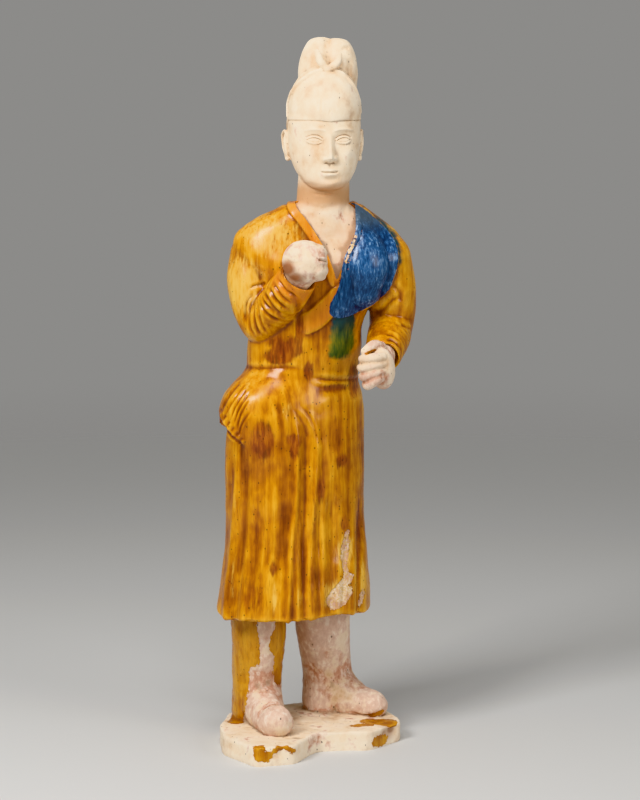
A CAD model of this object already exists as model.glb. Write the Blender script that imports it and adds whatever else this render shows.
import math

import bmesh
import bpy
import numpy as np
from mathutils import Matrix, Vector, noise
from mathutils.kdtree import KDTree


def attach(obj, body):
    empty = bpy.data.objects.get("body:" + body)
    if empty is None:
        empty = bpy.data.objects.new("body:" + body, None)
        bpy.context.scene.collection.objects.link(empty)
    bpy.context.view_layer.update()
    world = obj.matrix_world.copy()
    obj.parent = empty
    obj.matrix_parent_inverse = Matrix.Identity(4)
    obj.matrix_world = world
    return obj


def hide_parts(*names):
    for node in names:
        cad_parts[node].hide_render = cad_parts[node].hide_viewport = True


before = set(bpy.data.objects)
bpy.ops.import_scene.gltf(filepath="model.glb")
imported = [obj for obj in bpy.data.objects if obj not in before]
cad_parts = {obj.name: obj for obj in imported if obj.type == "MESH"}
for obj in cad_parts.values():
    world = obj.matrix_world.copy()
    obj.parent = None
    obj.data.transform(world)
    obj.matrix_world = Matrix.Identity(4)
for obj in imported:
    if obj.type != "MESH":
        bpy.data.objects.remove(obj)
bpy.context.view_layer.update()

# The studio: a plain pale floor, a large soft light high on the left, a weaker one on the right, one from
# above in front, and grey air all round. The camera stands as high as the cap and looks a little down.
CAMERA_PLACE = (0.010, -2.420, 0.650)
CAMERA_DIP = 7.19
LENS = 110.86
LIT_PLACE = Vector((0.0, 0.0, 0.38))
AIR_COLOR = (0.40, 0.395, 0.385, 1.0)
AIR_STRENGTH = 0.75
FLOOR_COLOR = (0.62, 0.615, 0.60, 1.0)
FLOOR_RADIUS = 6.0
# the floor fades into the air between these distances from the figure
FADE_START = 0.7
FADE_END = 3.2


def in_scene(name, data):
    """A new object in the scene, made of that data."""
    thing = bpy.data.objects.new(name, data)
    bpy.context.scene.collection.objects.link(thing)
    return thing


camera_data = bpy.data.cameras.new("camera")
camera_data.lens = LENS
camera_data.sensor_width = 36.0
camera = in_scene("camera", camera_data)
camera.location = CAMERA_PLACE
camera.rotation_euler = (math.radians(90 - CAMERA_DIP), 0, 0)
bpy.context.scene.camera = camera
bpy.context.scene.view_settings.view_transform = "Khronos PBR Neutral"


def softbox(name, place, size, watts):
    """A rectangular soft light at a place in metres, turned towards the figure."""
    data = bpy.data.lights.new(name, "AREA")
    data.shape = "RECTANGLE"
    data.size, data.size_y = size
    data.energy = watts
    lamp = in_scene(name, data)
    lamp.location = place
    lamp.rotation_euler = (LIT_PLACE - Vector(place)).to_track_quat("-Z", "Y").to_euler()


softbox("key_light", (-1.05, -1.25, 1.45), (0.55, 0.75), 27)
softbox("fill_light", (1.6, -1.3, 0.9), (0.8, 1.1), 11.5)
softbox("top_light", (-0.1, -0.9, 2.0), (0.9, 0.7), 15)

air = bpy.data.worlds.new("air")
bpy.context.scene.world = air
air.use_nodes = True
air.node_tree.nodes["Background"].inputs["Color"].default_value = AIR_COLOR
air.node_tree.nodes["Background"].inputs["Strength"].default_value = AIR_STRENGTH


def feed(tree, value, socket):
    """Gives a socket a plain value, or links another node's output to it."""
    if isinstance(value, bpy.types.NodeSocket):
        tree.links.new(value, socket)
    else:
        socket.default_value = value


def node(tree, kind, settings=None, **links):
    """A node of that kind. Keywords feed its sockets by name, or by number as i0, i1 and so on."""
    made = tree.nodes.new(f"ShaderNode{kind}")
    for key, value in (settings or {}).items():
        setattr(made, key, value)
    for key, value in links.items():
        numbered = key[0] == "i" and key[1:].isdigit()
        feed(tree, value, made.inputs[int(key[1:]) if numbered else key.replace("_", " ")])
    return made


def between(tree, value, start, end):
    """0 at start, 1 at end, and smooth between them."""
    limits = {"Value": value, "From_Min": start, "From_Max": end}
    return node(tree, "MapRange", {"interpolation_type": "SMOOTHSTEP"}, **limits).outputs["Result"]


def new_paint(name):
    """A material with its nodes, to be finished later."""
    material = bpy.data.materials.new(name)
    material.use_nodes = True
    return material


def mesh_of(name, shape):
    """The mesh of a shape that was being built."""
    mesh = bpy.data.meshes.new(name)
    shape.to_mesh(mesh)
    shape.free()
    return mesh


disc = bmesh.new()
bmesh.ops.create_circle(disc, cap_ends=True, segments=96, radius=FLOOR_RADIUS)
floor = in_scene("floor", mesh_of("floor", disc))
floor_paint = new_paint("floor_paint")
tree = floor_paint.node_tree
shader = tree.nodes["Principled BSDF"]
shader.inputs["Base Color"].default_value = FLOOR_COLOR
shader.inputs["Roughness"].default_value = 0.75
reach = node(tree, "VectorMath", {"operation": "LENGTH"}, i0=node(tree, "TexCoord").outputs["Object"])
fade = between(tree, reach.outputs["Value"], FADE_START, FADE_END)
clear_air = node(tree, "BsdfTransparent")
blend = node(tree, "MixShader", Fac=fade, i1=shader.outputs[0], i2=clear_air.outputs[0])
tree.links.new(blend.outputs[0], tree.nodes["Material Output"].inputs["Surface"])
floor.data.materials.append(floor_paint)

# The robe's trunk: moulded in one from hem to shoulders, hollow under the hem where the boots go up into
# it. Places are in millimetres from a plumb line between the boots: x to the figure's left hand, y away
# from the viewer and z above the slab's top.
SLAB_THICKNESS = 19.0
PLUMB_LINE = (-10.0, 20.0)
HEM_HEIGHT = 113
# height, centre x, centre y, half width, half depth, turn in degrees
TRUNK = [
    (113, -26.5, 33, 80, 64, 30),
    (150, -24.6, 33, 76.5, 61, 30),
    (190, -24.5, 33, 72.5, 57, 30),
    (240, -25, 33, 72, 56, 30),
    (290, -24.5, 33, 71, 54, 28),
    (325, -21.5, 33, 66, 51, 25),
    (345, -18, 32, 57, 46, 22),
    (360, -17, 31, 56, 46, 18),
    (380, -15, 30, 57, 47, 14),
    (400, -14, 29, 56, 47, 11),
    (425, -7, 28, 60, 46, 8),
    (448, -1, 27, 69, 44, 6),
    (466, 0, 27, 82, 41, 6),
    (480, -1, 27, 85, 37, 6),
    (491, -3, 26, 79.5, 33, 6),
    (501, -3, 25, 68, 30, 6),
    (508, -1, 25, 57, 28.5, 6),
    (514, 1, 25, 46.5, 27.5, 6),
    (519, 2, 25, 38.5, 27, 6),
    (524, 3, 25, 31, 26, 6),
]


def follow(knots, values, where):
    """A smooth curve through the values at the knots, read at the places in where."""
    knots = np.array(knots, float)
    values = np.array(values, float)
    where = np.clip(where, knots[0], knots[-1])
    slopes = np.gradient(values, knots, axis=0)
    i = np.clip(np.searchsorted(knots, where, side="right") - 1, 0, len(knots) - 2)
    span = knots[i + 1] - knots[i]
    u = (where - knots[i]) / span
    if values.ndim == 2:
        u = u[:, None]
        span = span[:, None]
    return (
        values[i] * (2 * u**3 - 3 * u**2 + 1)
        + slopes[i] * span * (u**3 - 2 * u**2 + u)
        + values[i + 1] * (3 * u**2 - 2 * u**3)
        + slopes[i + 1] * span * (u**3 - u**2)
    )


def ease(start, end, x):
    """0 before start, 1 after end, and smooth between them."""
    u = np.clip((x - start) / (end - start), 0.0, 1.0)
    return u * u * (3 - 2 * u)


def bump(x, centre, width):
    """1 at the centre and nearly 0 at twice the width from it."""
    return np.exp(-(((x - centre) / width) ** 2))


def read_off(pairs, where):
    """What a list of places and values gives at each place in where, with straight lines between them."""
    places, values = np.array(pairs, float).T
    return np.interp(where, places, values)


def values_of(items, key, width=1, kind=float):
    """That value of every item, as a row of numbers for each where it has more than one."""
    values = np.empty(len(items) * width, kind)
    items.foreach_get(key, values)
    return values.reshape(-1, width) if width > 1 else values


def points_of(mesh):
    return values_of(mesh.vertices, "co", 3)


def normals_of(mesh):
    return values_of(mesh.vertex_normals, "vector", 3)


def put_points(mesh, co):
    mesh.vertices.foreach_set("co", co.ravel())
    mesh.update()
    return mesh


def shaped_ball(name, columns, rows, place):
    """A closed skin whose points go where place(angle, t) says, t running from its foot to its top."""
    ball = bmesh.new()
    bmesh.ops.create_grid(ball, x_segments=columns, y_segments=rows, size=1.0)
    mesh = mesh_of(name, ball)
    co = points_of(mesh)
    put_points(mesh, place(co[:, 0] * math.pi, (co[:, 1] + 1) / 2))
    ball = bmesh.new()
    ball.from_mesh(mesh)
    bpy.data.meshes.remove(mesh)
    bmesh.ops.remove_doubles(ball, verts=ball.verts, dist=0.001)
    return mesh_of(name, ball)


def oval(angle, half_x, half_y, power):
    """The points at those angles on an oval, which is squarer the lower the power is."""
    x = half_x * np.sign(np.cos(angle)) * np.abs(np.cos(angle)) ** power
    y = half_y * np.sign(np.sin(angle)) * np.abs(np.sin(angle)) ** power
    return x, y


def rotated(x, y, degrees):
    """Places turned about the upright, to the left as seen from above."""
    yaw = np.radians(degrees)
    return x * np.cos(yaw) - y * np.sin(yaw), x * np.sin(yaw) + y * np.cos(yaw)


BODY_POWER = 0.94
# the hem's rolled edge from the hollow inside to the outer face: share of the roll, share of the trunk's
# width and height above the hem
HEM_ROLL = 0.14
HEM_EDGE = [
    (0, 0, 24),
    (0.3, 0.80, 24),
    (0.45, 0.86, 17),
    (0.7, 0.87, 4),
    (0.78, 0.885, 1.2),
    (0.86, 0.93, -0.4),
    (0.94, 0.975, 0.2),
    (1, 1, 2.4),
]
# over the right hip the robe swells with what is tucked up into the belt: how far it swells at each
# height, then the way that the swell faces and how wide it is, in degrees
HIP_SWELL = [(284, 12), (311, 12.5), (325, 14), (335, 15.5), (345, 11.5), (352, 4.5), (358, 0)]
HIP_SWELL_WAY = 207.0
HIP_SWELL_WIDTH = 48.0
# at its outer end the swell stops short on a slanting line of gathers, given in x and z
GATHER_LINE = [(-103, 320), (-98.5, 307), (-90, 297), (-79, 289)]
# from one x to the other it gives way to a softer end, which fades into the skirt between two heights
FLOW_SIDE = (-86, -74)
FLOW_HEIGHTS = (255, 318)
heights = [station[0] for station in TRUNK]
stations = np.array([station[1:] for station in TRUNK], float)


def trunk_place(angle, t):
    """The robe's outer face above the hem, and below it the rolled hem and the hollow inside."""
    rise = np.clip((t - HEM_ROLL) / (1 - HEM_ROLL), 0, 1)
    z = HEM_HEIGHT + rise * (heights[-1] - HEM_HEIGHT)
    cx, cy, wide, deep, turn = follow(heights, stations, z).T
    roll = np.clip(t / HEM_ROLL, 0, 1)
    steps, insets, lifts = np.array(HEM_EDGE, float).T
    inset = np.interp(roll, steps, insets) * np.clip((1 - t) / 0.012, 0, 1) ** 0.5
    lift = np.interp(roll, steps, lifts) - lifts[-1] * (roll >= 1)
    x, y = oval(angle, wide * inset, deep * inset, BODY_POWER)
    # the hem rises and falls a little on its way round
    hem_wave = 1.8 * np.sin(3 * angle + 0.6) + 1.2 * np.sin(5 * angle + 2.0) + 1.0 * ease(-20, 45, x)
    z = z + lift + hem_wave * (1 - ease(0, 0.12, rise))
    x, y = rotated(x, y, turn)
    swell_heights, swells = np.array(HIP_SWELL, float).T
    way = np.degrees(np.arctan2(y, x)) % 360
    swell = follow(swell_heights, swells, z) * bump(way, HIP_SWELL_WAY, HIP_SWELL_WIDTH)
    out = 1 + swell / np.hypot(x, y).clip(1)
    gathered = ease(-4, 2, z - read_off(GATHER_LINE, cx + x * out))
    flowing = ease(*FLOW_SIDE, cx + x * out)
    held = gathered * (1 - flowing) + ease(*FLOW_HEIGHTS, z) * flowing
    out = 1 + (out - 1) * held
    return np.stack([cx + x * out, cy + y * out, z], axis=1)


trunk = shaped_ball("trunk", 300, 330, trunk_place)

# The robe's tail is drawn up into the belt over the right hip. Its end is gathered and tied there, and
# shows as a crumpled knob at the foot of the swell.
GATHER_PATH = [(-75, 8, 320), (-83, 6, 308), (-88.5, 5, 299)]
# a tube's rings are set out from this direction, a little off the y axis so that no path follows it
GUIDE = (0.01, 1.01, 0.01)
# a hollow end's lip takes this share of the tube's points, and the tube narrows along the lip
MOUTH = 0.2
MOUTH_WIDTHS = [(0, 1), (0.15, 0.97), (0.3, 0.87), (0.6, 0.79), (1, 0)]


def limb(name, path, radii, section=None, cup=None, columns=48, rows=64):
    """A tube through the path's points with a radius at each. Its end is round, or hollow by cup."""
    path = np.array(path, float)
    radii = np.array(radii, float)
    lengths = np.linalg.norm(np.diff(path, axis=0), axis=1)
    knots = np.concatenate([[0], np.cumsum(lengths)])
    total = knots[-1]
    first, last = radii[0], radii[-1]

    def place(angle, t):
        if cup is None:
            u = -first + t * (total + last + first)
            lip = np.zeros_like(t)
        else:
            u = -first + np.clip(t / (1 - MOUTH), 0, 1) * (total + first)
            lip = np.clip((t - 1 + MOUTH) / MOUTH, 0, 1)
        held = np.clip(u, 0, total)
        start_way = (path[1] - path[0]) / lengths[0]
        end_way = (path[-1] - path[-2]) / lengths[-1]
        centre = follow(knots, path, held)
        centre = centre + np.minimum(u, 0)[:, None] * start_way + np.maximum(u - total, 0)[:, None] * end_way
        way = follow(knots, path, held + 1.0) - follow(knots, path, held - 1.0)
        way /= np.linalg.norm(way, axis=1)[:, None]
        radius = follow(knots, radii, u)
        radius *= np.sqrt(np.clip(1 - np.minimum(u, 0) ** 2 / first**2, 0, 1))
        if section is not None:
            radius = radius + section(angle, u)
        if cup is None:
            radius *= np.sqrt(np.clip(1 - np.maximum(u - total, 0) ** 2 / last**2, 0, 1))
        else:
            radius = radius * read_off(MOUTH_WIDTHS, lip)
            sunk = read_off([(0, 0), (0.08, -1.2), (0.2, -1.0), (0.3, 0.5), (0.6, cup), (1, cup)], lip)
            centre = centre - sunk[:, None] * end_way
        across = np.cross(way, np.array(GUIDE))
        across /= np.linalg.norm(across, axis=1)[:, None]
        over = np.cross(across, way)
        centre = centre + across * (radius * np.cos(angle))[:, None]
        return centre + over * (radius * np.sin(angle))[:, None]

    return shaped_ball(name, columns, rows, place)


def gather_pleats(angle, u):
    """The bundle's small pleats, deeper towards its end."""
    return ease(4, 16, u) * (0.9 * np.sin(8 * angle + 0.1 * u) + 0.7 * np.sin(15 * angle + 1))


gather = limb("hip_gather", GATHER_PATH, [13, 16, 11], gather_pleats, cup=3, columns=110, rows=70)

# The sleeves are long, tight and pushed up in ridges at the wrists. The right arm is bent up in front of
# the chest and the left one forward at the waist.
RIGHT_CUFF = (-19.8, -38.5, 452.8)
LEFT_CUFF = (61.0, -9.0, 372.0)


def right_ridges(angle, u):
    """The right cuff's crowded ridges and thicker end, u millimetres along the sleeve."""
    crowded = ease(84, 94, u) * (1 - ease(108, 112, u))
    return 0.5 * crowded * np.sin((u - 84) * 1.15 + 0.5 * np.sin(angle)) + 1.3 * ease(108, 113, u)


def left_ridges(angle, u):
    """The left cuff's crowded ridges, u millimetres along the sleeve."""
    crowded = ease(70, 84, u) * (1 - ease(116, 124, u))
    return crowded * 0.55 * np.sin((u - 70) * 1.25 + 1.0 * np.sin(angle + 0.4)) * (0.6 + 0.4 * np.cos(angle))


right_sleeve = limb(
    "right_sleeve",
    [(-61, 27, 466), (-66, 22, 446), (-56, 7, 404), (-41, -13, 423), RIGHT_CUFF],
    [28.5, 26, 21, 20.5, 17.5],
    right_ridges,
    cup=7,
    columns=150,
    rows=240,
)
left_sleeve = limb(
    "left_sleeve",
    [(62, 29, 464), (70, 33, 438), (71, 38, 402), (66, 14, 384), LEFT_CUFF],
    [28.5, 25, 22.5, 20.5, 17.5],
    left_ridges,
    cup=6,
    columns=150,
    rows=240,
)

# The robe as one skin. Its folds, belt and collar were pressed and tooled in the wet clay, and the slip
# and glaze softened them afterwards.
ROBE_GRAIN = 1.25
ROBE_TRIANGLES = 96000


def shown(thing):
    """A new mesh of the thing as its modifiers leave it. The thing itself goes."""
    bpy.context.view_layer.update()
    mesh = bpy.data.meshes.new_from_object(thing.evaluated_get(bpy.context.evaluated_depsgraph_get()))
    bpy.data.objects.remove(thing)
    return mesh


def weld(name, meshes, grain, soften=3):
    """One skin round overlapping forms, with their joins a little softened."""
    together = bmesh.new()
    for mesh in meshes:
        together.from_mesh(mesh)
        bpy.data.meshes.remove(mesh)
    thing = in_scene(name, mesh_of(name, together))
    skin = thing.modifiers.new("skin", "REMESH")
    skin.mode = "VOXEL"
    skin.voxel_size = grain
    smooth = thing.modifiers.new("smooth", "SMOOTH")
    smooth.factor = 0.5
    smooth.iterations = soften
    return shown(thing)


def thin_out(mesh, triangles):
    """The same skin with about that many triangles, kept where the shape needs them."""
    thing = in_scene("thinned", mesh)
    thin = thing.modifiers.new("thin", "DECIMATE")
    thin.ratio = min(1.0, triangles / sum(len(face.vertices) - 2 for face in mesh.polygons))
    return shown(thing)


def away_from(line, flat):
    """The distance from each flat point to a line of points, and the share of the line it lies at."""
    away = np.full(len(flat), 1e9)
    along = np.zeros(len(flat))
    for k in range(len(line) - 1):
        start, run = line[k], line[k + 1] - line[k]
        rel = flat - start
        u = np.clip(rel @ run / (run @ run), 0, 1)
        gap = np.linalg.norm(rel - u[:, None] * run, axis=1)
        nearer = gap < away
        away = np.where(nearer, gap, away)
        along = np.where(nearer, (k + u) / (len(line) - 1), along)
    return away, along


def smooth_line(path, steps=8):
    """The path's points with that many steps from each to the next on a smooth curve."""
    path = np.array(path, float)
    return follow(np.arange(len(path)), path, np.linspace(0, len(path) - 1, steps * (len(path) - 1) + 1))


def tool(mesh, strokes):
    """Runs a modelling tool along paths on the clay: grooves where depth is below 0, ridges above.

    A stroke is (path, width, depth, side): the path as x and z from the front, and side -1 for the
    surfaces that face the viewer or 1 for those that face away. A fifth value "open" keeps the
    stroke's far end at full depth.
    """
    co = points_of(mesh)
    normal = normals_of(mesh)
    moved = co.copy()
    for path, width, depth, side, *ends in strokes:
        line = smooth_line(path)
        low, high = line.min(axis=0) - 4 * width, line.max(axis=0) + 4 * width
        near = np.all((co[:, [0, 2]] > low) & (co[:, [0, 2]] < high), axis=1) & (normal[:, 1] * side > 0)
        away, along = away_from(line, co[near][:, [0, 2]])
        fade = ease(0, 0.25, along)
        if not ends:
            fade = fade * ease(0, 0.25, 1 - along)
        # the tool pushes up a little clay beside its path
        shape = bump(away, 0, width) - 0.3 * bump(away, 2.3 * width, 1.1 * width)
        facing = ease(0.0, 0.35, normal[near, 1] * side)
        moved[near] += normal[near] * (depth * shape * fade * facing)[:, None]
    put_points(mesh, moved)


def crumple(mesh, size, depth, seed):
    """Gives the clay the low uneven swell of hand work."""
    co = points_of(mesh)
    normal = normals_of(mesh)
    amount = np.array([noise.noise(Vector(place) / size + Vector((seed, 0, 0))) for place in co])
    put_points(mesh, co + normal * (amount * depth)[:, None])


COLLAR_ROLL = 2.2
NECKLINE = [
    (15, -14, 447), (11, -13.5, 457), (4, -11, 474), (-7, -5, 493), (-20, 4, 510), (-29, 14, 517),
    (-30, 30, 518), (-18, 46, 519), (5, 52, 519), (26, 45, 518), (35, 30, 517), (36, 14, 512), (36, 2, 504),
    (35, -7, 491), (27, -11, 472), (20, -14, 452),
]
neckline = limb("neckline", NECKLINE, [COLLAR_ROLL] * len(NECKLINE), columns=20, rows=260)
breast = limb("left_breast", [(34, 14, 492), (41, 11, 462), (38, 11, 437)], [17, 26, 21], columns=60)
robe_forms = [trunk, gather, right_sleeve, left_sleeve, neckline, breast]
robe = weld("robe", robe_forms, ROBE_GRAIN, soften=6)
crumple(robe, size=24.0, depth=0.9, seed=5)
crumple(robe, size=8.0, depth=0.25, seed=9)

# path, width and depth of the skirt's long folds: a thin ridge runs down beside the middle one
RIDGE = [(-26, 320), (-21.5, 293), (-22.5, 262), (-24, 223), (-27, 198), (-29, 168), (-31, 124), (-31, 90)]
FRONT_FOLDS = [
    (RIDGE, 2.1, 1.7),
    ([(-23, 320), (-14, 298), (-13.5, 262), (-15, 216), (-16, 170), (-14.5, 120), (-14, 90)], 3.4, -2.3),
    ([(-9, 325), (-2, 289), (-5, 234), (-9, 197), (-11, 142), (-9, 95)], 2.6, 1.0),
    ([(-34, 275), (-37, 205), (-43, 150), (-47, 88)], 5.0, -1.7),
    ([(-79, 290), (-83, 240), (-88, 175), (-93, 138), (-94, 95)], 2.6, 1.5),
    ([(-70, 292), (-74, 213), (-83, 120), (-85, 90)], 3.2, -1.9),
    ([(-58, 255), (-63, 190), (-67, 120), (-68, 88)], 6.0, -1.6),
    ([(-50, 190), (-55, 150), (-57, 90)], 2.6, -0.8),
    ([(11, 255), (12, 180), (10, 90)], 5.5, -1.6),
    ([(0, 235), (-1, 170), (0, 90)], 2.2, -0.9),
    ([(24, 190), (23, 150), (21, 90)], 2.2, -0.8),
    ([(31, 220), (32, 160), (31, 95)], 3.0, 0.8),
    ([(38.5, 240), (39.5, 173), (39, 145), (38, 90)], 2.4, -2.2),
]
BACK_PLEATS = [(-78, 250), (-60, 285), (-40, 262), (-18, 290), (6, 266), (28, 280)]

# the robe's strokes are gathered in one list and tooled together
folds = [(path, width, depth, -1, "open") for path, width, depth in FRONT_FOLDS]
for x, top_z in BACK_PLEATS:
    folds.append(([(x, top_z), (x - 1.5, 200), (x - 3, 140), (x - 3, 88)], 5.0, -1.7, 1, "open"))
# the fine lines that fan out from the gathered bundle, as x and z of both ends
for start_x, start_z, end_x, end_z in [
    (-97, 317, -76, 349),
    (-94, 312, -68.5, 350.5),
    (-89, 308, -67, 348),
    (-85.5, 304, -67, 341),
    (-81, 300, -68.5, 333),
    (-79.5, 295, -67, 322),
]:
    middle = ((start_x + end_x) / 2 - 3, (start_z + end_z) / 2 - 1)
    folds.append(([(start_x, start_z), middle, (end_x, end_z)], 0.9, -0.9, -1))
folds += [
    # the bundle's gathered end and the soft swags below the belt
    ([(-102, 316), (-98.5, 307), (-93, 301), (-86, 293), (-79, 289.5)], 1.3, -1.8, -1),
    ([(-99, 303), (-95, 299), (-89, 293), (-83, 289)], 1.0, -1.0, -1),
    ([(-46, 335), (-40, 320), (-33, 300), (-27, 284)], 2.2, -0.7, -1),
    ([(-38, 322), (-34, 306), (-30, 292)], 2.0, 0.7, -1),
    ([(-27, 324), (-16, 308), (-10, 290)], 1.2, -0.6, -1),
    ([(-19, 326), (-8, 310), (-3, 290)], 1.2, -0.6, -1),
    # the waist seam, the belt that shows on the figure's left and the hem of the tucked panel below it
    ([(-96, 357), (-72, 359), (-50, 361), (-32, 362), (-14, 360)], 2.2, -1.0, -1),
    ([(-10, 353), (8, 349), (30, 347), (60, 345)], 2.2, -1.5, -1, "open"),
    ([(-6, 342), (14, 340), (36, 339), (62, 338)], 5.0, -1.0, -1, "open"),
    ([(-96, 353), (-60, 351), (-20, 349), (20, 346), (62, 343)], 3.0, -2.6, 1, "open"),
    # the robe's pull under the arms and across the back
    ([(47, 412), (60, 414), (70, 424), (80, 430)], 2.2, -1.5, -1),
    ([(70, 443), (78, 433), (80, 421)], 2.2, -1.2, -1),
    ([(-36, 455), (-22, 425), (-20, 395)], 3.0, -1.5, -1),
    ([(-60, 445), (-40, 425), (-20, 415)], 4.0, -1.6, 1),
    ([(62, 445), (42, 425), (22, 412)], 4.0, -1.6, 1),
    ([(2, 500), (0, 440), (-6, 370)], 6.0, -2.0, 1),
    ([(-50, 400), (-30, 385), (-15, 372)], 3.4, -1.2, 1),
    ([(45, 398), (28, 384), (12, 372)], 3.4, -1.2, 1),
]
# the short puckers along the bundle's end
for k in range(6):
    x, z = -100 + 4.2 * k, 314 - 5.0 * k
    folds.append(([(x + 4, z + 6), (x + 1, z + 2), (x - 2, z - 3)], 1.3, -1.0, -1))
# folds that fan out from the crook of the right elbow
for path in [
    [(-64.5, 435), (-72, 422), (-73, 404)],
    [(-62.5, 434), (-68, 420), (-69, 402), (-63, 392)],
    [(-61, 433), (-64.5, 418), (-62, 401), (-56, 391)],
    [(-59.5, 431), (-60, 416), (-56, 403), (-49, 393)],
    [(-58.5, 429), (-55, 420), (-47.5, 413), (-37, 408)],
    [(-57, 432), (-51, 424), (-42, 418), (-36, 414)],
    [(-71, 437), (-64, 441), (-57, 442), (-52, 445)],
]:
    folds.append((path, 1.5, -1.5, -1))
# the sleeve's rings behind the right cuff, and those above the left hand
for k in range(4):
    ring = [(-42 - 4.1 * k, 453 - 4.9 * k), (-32.5 - 4.7 * k, 440 - 5 * k), (-20 - 5.2 * k, 431 - 5.4 * k)]
    folds.append((ring, 1.2, -1.7, -1))
folds += [
    ([(64, 394), (72, 392), (79, 386)], 1.1, -1.2, -1),
    ([(64, 389.5), (72, 387.5), (78, 381)], 1.1, -1.2, -1),
    ([(64, 385), (71, 382), (76, 375)], 1.1, -1.0, -1),
    ([(78, 402), (85, 399), (90, 395)], 1.1, -1.0, -1),
]
tool(robe, folds)


# The collar: the right front lies under, the left one crosses it down to the belt as a broad border, and
# its upper part is a stiff flap folded back over the left breast. Inside the V the chest is bare.
FLAP_THICKNESS = 3.2
BORDER_THICKNESS = 1.6
FLAP = [
    (31, 521), (42, 516), (54, 506), (66, 494), (74, 482), (76.5, 466), (73, 450), (66, 434), (53, 423),
    (40, 416), (27, 411), (17, 410), (10, 414), (10, 424), (16, 436), (20, 449), (22, 468), (26, 484),
    (29, 500), (29, 512),
]
BORDER = [
    (22, 441), (12, 439), (3, 430), (-12, 417), (-22, 411), (-16, 396), (-2, 399), (10, 409), (18, 420),
]
V_OPENING = [
    (16.5, 448), (13, 457.5), (7, 473), (-3, 490), (-14, 506), (-23, 517), (-24, 526), (-20, 536), (0, 545),
    (24, 540), (33, 524), (34.5, 507), (34, 493), (28.5, 480), (24, 470), (21, 459),
]
# height, and the y that parts the breast from the forearm in front of it
BREAST_FRONT = [(385, -27), (420, -26), (460, -23), (500, -18), (540, -14)]


def closed_line(outline):
    """The outline rounded and closed, ending on the point that it starts from."""
    return smooth_line([outline[-1], *outline, *outline[:2]], 6)[6:-6]


def within(outline, flat):
    """How far inside a closed rounded outline each flat point is, and below 0 how far outside."""
    line = closed_line(outline)
    away, _ = away_from(line, flat)
    crossings = np.zeros(len(flat), int)
    for (x0, z0), (x1, z1) in zip(line[:-1], line[1:]):
        if z0 != z1:
            spans = (z0 > flat[:, 1]) != (z1 > flat[:, 1])
            crossings += spans & (flat[:, 0] < (x1 - x0) * (flat[:, 1] - z0) / (z1 - z0) + x0)
    return np.where(crossings % 2 == 1, away, -away)


def drawn_out(corners, move):
    """A closed block: a flat face with those corners, drawn out by a move."""
    block = bmesh.new()
    face = block.faces.new([block.verts.new(corner) for corner in corners])
    lifted = bmesh.ops.extrude_face_region(block, geom=[face])
    far_side = [item for item in lifted["geom"] if isinstance(item, bmesh.types.BMVert)]
    bmesh.ops.translate(block, verts=far_side, vec=move)
    bmesh.ops.recalc_face_normals(block, faces=block.faces)
    return block


def combine(mesh, others, operation):
    """The mesh with the others joined to it (UNION) or cut from it (DIFFERENCE)."""
    thing = in_scene("combined", mesh)
    helpers = []
    for other in others:
        helper = in_scene("helper", other)
        helpers.append(helper)
        step = thing.modifiers.new("combine", "BOOLEAN")
        step.operation = operation
        step.solver = "MANIFOLD"
        step.object = helper
    result = shown(thing)
    for helper in helpers:
        bpy.data.objects.remove(helper)
    return result


co = points_of(robe)
normal = normals_of(robe)
flat = co[:, [0, 2]]
in_front = (co[:, 2] > 385) & (normal[:, 1] < 0.3) & (co[:, 1] < 32)
in_front &= co[:, 1] > read_off(BREAST_FRONT, co[:, 2])
flap_depth, border_depth, opening_depth = np.full((3, len(co)), -99.0)
flap_depth[in_front] = within(FLAP, flat[in_front])
border_depth[in_front] = within(BORDER, flat[in_front])
opening_depth[in_front] = within(V_OPENING, flat[in_front])
swell = 0.6 + 0.4 * ease(0, 16, flap_depth)
lift = FLAP_THICKNESS * swell * ease(-0.8, 0.8, flap_depth)
left_border = ease(-0.8, 0.8, border_depth) * ease(-24, -8, flat[:, 0]) * ease(0.8, -0.8, flap_depth)
right_border = ease(-8.6, -7.2, opening_depth) * (flat[:, 0] < 14) * (flat[:, 1] > 432)
lift = lift + BORDER_THICKNESS * left_border + BORDER_THICKNESS * right_border
put_points(robe, co + lift[:, None] * normal)
robe = thin_out(robe, ROBE_TRIANGLES)
# the V is cut through the breast from well in front of it
v_corners = [(x, -60, z) for x, z in closed_line(V_OPENING)[:-1]]
robe = combine(robe, [mesh_of("v_cut", drawn_out(v_corners, (0, 74, 0)))], "DIFFERENCE")

# The hands: the sculptor closed both as if on reins. The right fist is worn to a smooth lump with a cleft
# between two knuckles; the left one keeps its four fingers with the thumb laid over them.
HAND_GRAIN = 0.8
HAND_TRIANGLES = 9000


def lump(name, centre, size, turn=0.0, lean=0.0, columns=64, rows=48):
    """An egg-shaped lump turned about the upright and leant sideways."""
    tip = math.radians(lean)

    def place(angle, t):
        rise = -np.cos(t * math.pi)
        around = np.sqrt(np.clip(1 - rise**2, 0, 1))
        x = size[0] * around * np.cos(angle)
        y = size[1] * around * np.sin(angle)
        z = size[2] * rise
        x, z = x * math.cos(tip) + z * math.sin(tip), z * math.cos(tip) - x * math.sin(tip)
        return np.stack([*rotated(x, y, turn), z], axis=1) + np.array(centre)

    return shaped_ball(name, columns, rows, place)


fist = [
    limb("right_wrist", [(-26, -30, 444), (-18, -42, 459)], [13.5, 17]),
    lump("right_palm", (-14.5, -49, 467), (22, 18, 21), turn=-10, lean=20),
    lump("upper_knuckles", (-4.5, -48, 475), (12, 13.5, 9.8), lean=15),
    lump("lower_knuckles", (-5, -50, 460.5), (13, 14.5, 11), lean=15),
    lump("right_thumb", (-19, -52, 475), (13, 13.5, 9.5), turn=-20, lean=8),
]
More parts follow.
